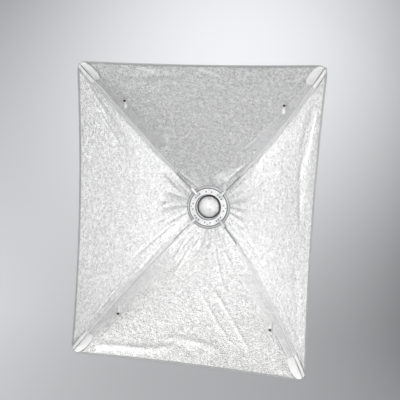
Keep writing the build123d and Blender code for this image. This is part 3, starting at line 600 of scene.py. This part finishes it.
def build_panel(panel, columns=181, rows=141):
    """One side of the shell, silver inside and black outside. Its columns are closer near the seams."""
    even = np.linspace(-1, 1, columns)
    u = np.sign(even) * np.abs(even) ** 0.92
    v = np.linspace(0, 1, rows)
    share = v[:, None] * panel.hem_share(u)[None, :]
    uu, vv = np.broadcast_to(u, share.shape), np.broadcast_to(v[:, None], share.shape)
    place, way = panel.point(uu, share)
    inner = place + way * relief(panel, uu, vv, place)[..., None]
    points = np.concatenate([inner.reshape(-1, 3), (inner + way * CLOTH_T).reshape(-1, 3)])
    length = running(inner, 0)
    uvs = np.stack([(place @ panel.across).ravel(), length.ravel()], axis=1)
    front, rest = sheet_faces(rows, columns)
    faces = front + rest
    mid = columns // 2
    to_side, to_hem = inner[0, mid + 1] - inner[0, mid], inner[1, mid + 1] - inner[0, mid]
    if np.cross(to_side, to_hem) @ way[0, mid] > 0:  # the front faces inwards
        faces = [f[::-1] for f in faces]
    slots = [0] * len(front) + [1] * len(rest)
    materials = [M["silver"], M["black_cloth"]]
    obj = mesh_object("cloth_" + panel.name, points, faces, materials, np.concatenate([uvs, uvs]), slots)
    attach(obj, "softbox")
    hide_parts("panel_" + panel.name)
    flat = (float(np.ptp(inner[-1] @ panel.across)) + 0.004, float(length[-1].max()))
    return obj, inner, way, flat


cloths = {key: build_panel(panel) for key, panel in PANELS.items()}


# ---- strips, patches, sleeves and tapes on the cloth ----
QUARTERS = {"upper_right": (1, 1), "upper_left": (-1, 1), "lower_left": (-1, -1), "lower_right": (1, -1)}
SLEEVE_FEET = (0.0058, 0.0242)  # SLEEVE_FEET = (0.0058, 0.0242) # where the sleeve's flanges meet its bulge, across it, and where its painted shadow lines run
STITCH_PITCH, STITCH_SHARE, STITCH_HALF = 0.0036, 0.62, 0.0005
PATCH_SHARES = (0.890, 0.998)


def stitched(name, colour, rows, thread_and_shadow_colour, pitch=0.0006, rough=0.7, metallic=0.0, crinkle=0.0,
             sheen=0.0, painted_shadow_half=0.0):
    """Cloth with rows of stitches, or of painted shadow lines, at given places across its UV map in
    metres.
    """
    s = Shader(name, colour, metallic=metallic, roughness=rough, sheen_weight=sheen)
    at = s.place(uv=True)
    tone = s.blend(weave(s, at, pitch, 0.0003), s.noise(s.place(), 45, 4), 0.35)
    shown = s.mix(s.ramp(tone, 0.25, 0.75), shade(colour, 0.84), shade(colour, 1.12))
    if crinkle:
        s.bump(s.noise(s.place(), 60, 4), 0.004, crinkle)
        flecks = s.noise(s.place(), 280, 3, 0.7)
        s.bump(flecks, 0.0012, crinkle)
        dull = s.mix(0.35 * crinkle, shown, (0.1, 0.1, 0.1))
        shown = s.mix(s.ramp(flecks, 0.38, 0.6), dull, shown)
    spot = s.split(at)
    phase = s.maths("FRACT", s.maths("DIVIDE", spot["X"], STITCH_PITCH))
    dash = s.maths("LESS_THAN", phase, STITCH_SHARE)
    for row in rows:
        # a row is a painted shadow line when a shadow width is given, and a dashed stitch otherwise
        line = s.near(spot["Y"], row, painted_shadow_half or STITCH_HALF)
        if not painted_shadow_half:
            line = s.maths("MULTIPLY", line, dash)
        shown = s.mix(line, shown, thread_and_shadow_colour)
        s.bump(line, 0.0005)
    s.colour(shown)
    return s.material


M["strip"] = stitched("smooth_lining", (0.90, 0.90, 0.905), (0.0022,), (1.0, 1.0, 1.0),
                      rough=0.42, metallic=0.6, crinkle=0.9)
# painted shadow: dark lines along both feet of the bulge round the rod
M["sleeve"] = stitched("sleeve_lining", (0.86, 0.86, 0.865), SLEEVE_FEET, (0.10, 0.10, 0.105),
                       rough=0.45, metallic=0.2, crinkle=0.3, painted_shadow_half=0.0017)
M["patch"] = stitched("corner_patch", (0.94, 0.94, 0.935), (0.002,), (0.75, 0.75, 0.75),
                      pitch=0.0008, crinkle=0.1)
M["binding"] = stitched("binding_tape", (0.40, 0.41, 0.41), (0.0018, 0.0138), (0.6, 0.6, 0.6),
                        pitch=0.0009, rough=0.8, sheen=0.3)
M["tab"] = stitched("tab_tape", (0.98, 0.98, 0.975), (0.0012, 0.0108), (0.6, 0.6, 0.6), rough=0.75)


def on_cloth(panel, u, share, lift):
    """Points on a panel's inner face, lifted off it towards the light, and the way outwards."""
    end = panel.hem_share(u.ravel()).reshape(u.shape)
    share = np.minimum(share, end)
    place, way = panel.point(u, share)
    return place + way * (relief(panel, u, share / end, place) - lift)[..., None], way


def sheet_of(name, points, way, thick, material, uvs):
    """A thin piece of cloth from a grid of points, sewn to the softbox."""
    front, rest = sheet_faces(*points.shape[:2])
    both = np.concatenate([points.reshape(-1, 3), (points + way * thick).reshape(-1, 3)])
    uvs = np.concatenate([uvs.reshape(-1, 2)] * 2)
    obj = mesh_object(name, both, front + rest, [M[material]], uvs)
    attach(obj, "softbox")
    return obj


def mirrored(grid, way, sx, sz):
    """A grid of the upper right quarter and its ways outwards, moved to another quarter."""
    grid = grid * np.array([sx, 1, 1])
    grid[..., 2] = AXIS_Z + (grid[..., 2] - AXIS_Z) * sz
    return grid, way * np.array([sx, 1, sz])


def strip(name, key, side, shares, width, material, lift, columns=9, stand=0.0, inset=0.0015):
    """A strip that lies on one panel beside its seam. width gives its width for each share."""
    panel = PANELS[key]
    share = np.linspace(*shares, 90)[:, None]
    t = np.linspace(0, 1, columns)[None, :]
    u = side * (1 - (inset + t * width(share)) / panel.seam_half(share))
    share = np.broadcast_to(share, u.shape)
    crown = 0.0012 * (t * (1 - t)) ** 0.5
    points, way = on_cloth(panel, u, share, lift + crown + stand * (1 - t))
    run = running(points, 0)
    across = (1 - t) * width(share)
    obj = sheet_of(name, points, way, 0.0006, material, np.stack([run, across], axis=2))
    return obj


def wide_strip(share):
    return 0.012 + 0.100 * (1 - share)


def narrow_strip(share):
    return np.full_like(share, 0.015)


def patch_width(wide):
    """The width of a patch with rounded ends."""
    def width(share):
        first, last = PATCH_SHARES
        t = np.clip((share - first) / (last - first), 0, 1)
        return 0.002 + wide * (4 * t * (1 - t)) ** 0.25
    return width


for key in PANELS:
    for tag, side in (("b", 1), ("a", -1)):
        name = f"lining_strip_{key}_{tag}"
        if key in ("top", "bottom"):
            strip(name, key, side, (0.40, 0.93), wide_strip, "strip", 0.0010)
            width = patch_width(0.030)
        else:
            strip(name, key, side, (0.30, 0.93), narrow_strip, "strip", 0.0010, columns=5)
            width = patch_width(0.014)
        name = f"corner_patch_{key}_{tag}"
        patch = strip(name, key, side, PATCH_SHARES, width, "patch", 0.0022, stand=0.004, inset=0.0055)
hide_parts("corner_pockets")


def seam_frame(share):
    """The seam's point, the way inwards square to it, and the way from the top to the side panel."""
    here, run = seam(share), unit(seam_run(share))
    outward = unit(here * np.array([1.0, 0.0, 1.0]))
    inward = unit(outward * run[..., 1:2] - BACK * (run * outward).sum(-1, keepdims=True))
    return here + np.array([0, 0, AXIS_Z]), inward, unit(np.cross(run, inward))


def sleeve_grid():
    """Cloth over the rod: a flange on each panel, and between them a bulge round the rod."""
    share = np.linspace(0.17, 0.925, 140)
    here, inward, sideways = seam_frame(share)
    angle = np.radians(np.linspace(-118, 118, 15))[None, :, None]
    bulge = 0.0033 + 0.0003 * np.sin(share * 260)[:, None, None] * np.cos(angle)
    round_rod = np.cos(angle) * inward[:, None] + np.sin(angle) * sideways[:, None]
    arc = (here + inward * 0.0039)[:, None] + bulge * round_rod

    def edge(key, reach):
        u = 1 - (SEAM_GAP + reach) / PANELS[key].seam_half(share)
        return on_cloth(PANELS[key], u, share, 0.0022)[0][:, None]

    grid = np.concatenate([edge("top", 0.0085), edge("top", 0.0055), arc,
                           edge("right", 0.0055), edge("right", 0.0085)], axis=1)
    return grid, np.broadcast_to(-inward[:, None], grid.shape)


def seam_tape_grid():
    """Tape over the outside of a seam."""
    share = np.linspace(0.004, 0.985, 120)
    here, inward, _ = seam_frame(share)

    def edge(key, reach):
        return on_cloth(PANELS[key], 1 - reach / PANELS[key].seam_half(share), share, -0.0016)

    lines = [edge("top", 0.0055), edge("top", 0.0025), (here - inward * 0.0024, -inward),
             edge("right", 0.0025), edge("right", 0.0055)]
    return [np.stack(group, axis=1) for group in zip(*lines)]


def on_seams(name, grid, way, thick, material, slot, spare):
    """The same sheet on each of the four seams. spare is not used."""
    pieces = []
    for quarter, signs in QUARTERS.items():
        points, ways = mirrored(grid, way, *signs)
        run, wide = running(points, 0), running(points, 1)
        uvs = np.stack([run, wide], axis=2)
        obj = sheet_of(f"{name}_{quarter}", points, ways, thick, material, uvs)
        pieces.append(obj)
    return pieces


sleeves = on_seams("rod_sleeve", *sleeve_grid(), 0.0004, "sleeve", "sleeve_cloth", 0.002)
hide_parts("rod_sleeves")
on_seams("seam_tape", *seam_tape_grid(), 0.0005, "black_tape", "binding_tape", 0.001)


# ---- binding round the hem ----
FLANGE, FOLD_R, TAPE_T, HEM_STEP = 0.0052, 0.0019, 0.0006, 0.0035
TAPE_OUT = 0.0005  # from the cloth's inner face out to the middle of the folded tape


def hem_loop():
    """The hem's edge as one closed line, with the cloth's outward direction."""
    spots, outs = [], []
    for key, way_round in (("top", 1), ("right", -1), ("bottom", -1), ("left", 1)):
        _, inner, way, _ = cloths[key]
        spots.append(inner[-1, ::way_round][2:-2])
        outs.append(way[-1, ::way_round][2:-2])
    return np.concatenate(spots), np.concatenate(outs)


def smooth_loop(values, rounds):
    for _ in range(rounds):
        values = (np.roll(values, 1, axis=0) + 2 * values + np.roll(values, -1, axis=0)) / 4
    return values


def resample(spots, outs, step):
    """A closed line and its directions at even steps along it, and the length so far."""
    length = running(np.concatenate([spots, spots[:1]])[:, None], 0)[:, 0]
    at = np.arange(0, length[-1], step)

    def pull(values):
        values = np.concatenate([values, values[:1]])
        return np.stack([np.interp(at, length, values[:, k]) for k in range(3)], axis=1)

    return pull(spots), pull(outs), at


def tape_section():
    """Half the outline of the folded tape: down one flange, round the fold and up the other."""
    turn = np.linspace(-math.pi / 2, math.pi / 2, 7)
    flange = np.linspace(FLANGE, 0, 4)[:-1]
    far = [(x, -FOLD_R) for x in flange]
    fold = [(-FOLD_R * math.cos(a), FOLD_R * math.sin(a)) for a in turn]
    near = [(x, FOLD_R) for x in flange[::-1]]
    return np.array(far + fold + near)


def binding():
    """Tape folded over the hem, all the way round."""
    spots, outs, run = resample(*hem_loop(), HEM_STEP)
    spots = smooth_loop(spots, 3)
    outs = unit(smooth_loop(outs, 14))
    tangent = unit(np.roll(spots, -1, axis=0) - np.roll(spots, 1, axis=0))
    outs = unit(outs - tangent * (outs * tangent).sum(1, keepdims=True))
    backs = np.cross(tangent, outs)
    backs *= np.sign(backs[:, 1:2])
    outer = tape_section()
    way = unit(np.gradient(outer, axis=0)) @ np.array([[0.0, -1.0], [1.0, 0.0]])
    inner = outer + way * TAPE_T * np.sign((way * -outer).sum(1, keepdims=True) + 1e-9)
    inner[:, 1] = np.sign(inner[:, 1]) * np.minimum(np.abs(inner[:, 1]), FOLD_R - TAPE_T)
    section = np.concatenate([outer, inner[::-1]])
    wave = 1 + 0.10 * np.sin(run * 160)[:, None] * np.cos(run * 61)[:, None]
    grid = spots[:, None] + backs[:, None] * section[None, :, 0:1]
    grid += outs[:, None] * (section[None, :, 1] * wave + TAPE_OUT)[..., None]
    grid = np.concatenate([grid, grid[:1]])
    lengths = np.append(run, run[-1] + HEM_STEP)
    steps = running(outer[:, None], 0)[:, 0]
    uvs = np.stack(np.meshgrid(lengths, np.concatenate([steps, steps[::-1]]), indexing="ij"), axis=2)
    faces = grid_faces(*grid.shape[:2], closed=True)
    obj = mesh_object("hem_binding", grid.reshape(-1, 3), faces, [M["binding"]], uvs.reshape(-1, 2))
    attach(obj, "softbox")
    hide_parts("edge_binding")


binding()


# ---- tabs beside the rods ----
TAB_SHARE, TAB_IN = 0.735, 0.046  # its middle: how far down the seam, and how far in from it
TAB_HALF_LONG, TAB_HALF_WIDE, TAB_T = 0.016, 0.006, 0.0009
SEAM_LENGTH = 0.62


def tab_grid():
    """A short tape, sewn down at its end by the stud and curling off the cloth at the other."""
    panel = PANELS["top"]
    x_mid = seam(TAB_SHARE)[0] - TAB_IN
    t, w = np.meshgrid(np.linspace(-1, 1, 24), np.linspace(-1, 1, 7), indexing="ij")
    share = TAB_SHARE + t * TAB_HALF_LONG / SEAM_LENGTH
    u = (x_mid + w * TAB_HALF_WIDE) / (panel.seam_half(share) - SEAM_GAP)
    curl = 0.0030 + 0.013 * np.clip((-t - 0.1) / 0.9, 0, 1) ** 2
    return on_cloth(panel, u, share, curl), (w + 1) * TAB_HALF_WIDE


grid, across = tab_grid()
for quarter, signs in QUARTERS.items():
    points, way = mirrored(*grid, *signs)
    uvs = np.stack([running(points, 0), across], axis=2)
    tab = sheet_of("tab_" + quarter, points, way, TAB_T, "tab", uvs)
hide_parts("diffuser_tabs")


# ---- floor, backdrop and lights ----
FLOOR_Z, WALL_Y, CURVE_R = -1.05, 2.4, 0.7
GLOOM = 0.118  # GLOOM = 0.118 # what the lights and the room add to the backdrop's painted glow


def backdrop():
    """A pale floor that curves up into a wall, glowing with painted light: brightest high in its middle
    and fading to the right.
    """
    profile = [(-6.0, FLOOR_Z)]
    for degrees in range(0, 91, 6):
        a = math.radians(degrees)
        y, z = WALL_Y - CURVE_R + CURVE_R * math.sin(a), FLOOR_Z + CURVE_R - CURVE_R * math.cos(a)
        profile.append((y, z))
    profile.append((WALL_Y, 4.5))
    points = [(x, y, z) for y, z in profile for x in (-6.0, 6.0)]
    s = Shader("backdrop_paper", (0.06, 0.06, 0.06), roughness=0.9, emission_strength=1.0)
    at = s.split(s.place())
    height = s.maths("ADD", at["Z"], s.maths("MULTIPLY", s.maths("SUBTRACT", at["Y"], WALL_Y), 0.35))

    def spot(x, z, spread, strength):
        across, above = s.maths("SUBTRACT", at["X"], x), s.maths("SUBTRACT", height, z)
        far = s.maths("ADD", s.maths("MULTIPLY", across, across), s.maths("MULTIPLY", above, above))
        falling = s.maths("POWER", math.e, s.maths("DIVIDE", far, -(spread**2)))
        return s.maths("MULTIPLY", falling, strength)

    # painted light: an emitted pool of light high in the middle, a painted shade low on the left, and
    # darker to the right
    glow = s.maths("ADD", spot(0.2, 1.75, 2.5, 1.266), spot(-0.7, -1.5, 1.1, -0.12))
    slope = s.maths("ADD", s.maths("MULTIPLY", at["X"], 0.168), s.maths("MULTIPLY", height, 0.211))
    tone = s.maths("SUBTRACT", s.maths("SUBTRACT", glow, slope), GLOOM)
    shown = s.mix(s.ramp(tone, 0.15, 0.85), (0.146, 0.147, 0.157), (0.838, 0.845, 0.868))
    s.feed(s.bsdf.inputs["Emission Color"], shown)
    s.bump(s.noise(s.place(), 30, 3), 0.001, 0.2)
    obj = mesh_object("backdrop", points, grid_faces(len(profile), 2), [s.material])


backdrop()


def soft_light(name, place, aim, size, power, colour=(1, 1, 1), spread=180):
    data = bpy.data.lights.new(name, "AREA")
    data.shape, data.size, data.energy, data.color = "DISK", size, power, colour
    data.spread = math.radians(spread)
    obj = bpy.data.objects.new(name, data)
    bpy.context.scene.collection.objects.link(obj)
    obj.location = place
    obj.rotation_euler = (Vector(aim) - Vector(place)).to_track_quat("-Z", "Y").to_euler()


soft_light("key", (-1.1, -2.6, 2.6), (0, -0.3, 0.1), 1.8, 17.5, (1.0, 0.99, 0.975))
soft_light("fill", (1.6, -2.8, 0.9), (0, -0.3, 0.2), 1.4, 29)
soft_light("left", (-2.5, -1.9, 0.7), (0, -0.3, 0.2), 1.3, 57)
soft_light("right", (2.5, -1.9, 0.6), (0, -0.3, 0.2), 1.3, 28)
soft_light("centre", (0.5, -2.5, 0.9), (0.04, -0.1, 0.12), 0.4, 0.36, spread=24)
soft_light("back", (1.2, 1.6, 1.9), (0, 0.0, 0.2), 1.2, 22)
world = bpy.data.worlds.new("studio")
world.use_nodes = True
world.node_tree.nodes["Background"].inputs["Color"].default_value = (1.0, 1.0, 0.995, 1)
world.node_tree.nodes["Background"].inputs["Strength"].default_value = 0.36
bpy.context.scene.world = world
bpy.context.scene.view_settings.view_transform = "Standard"
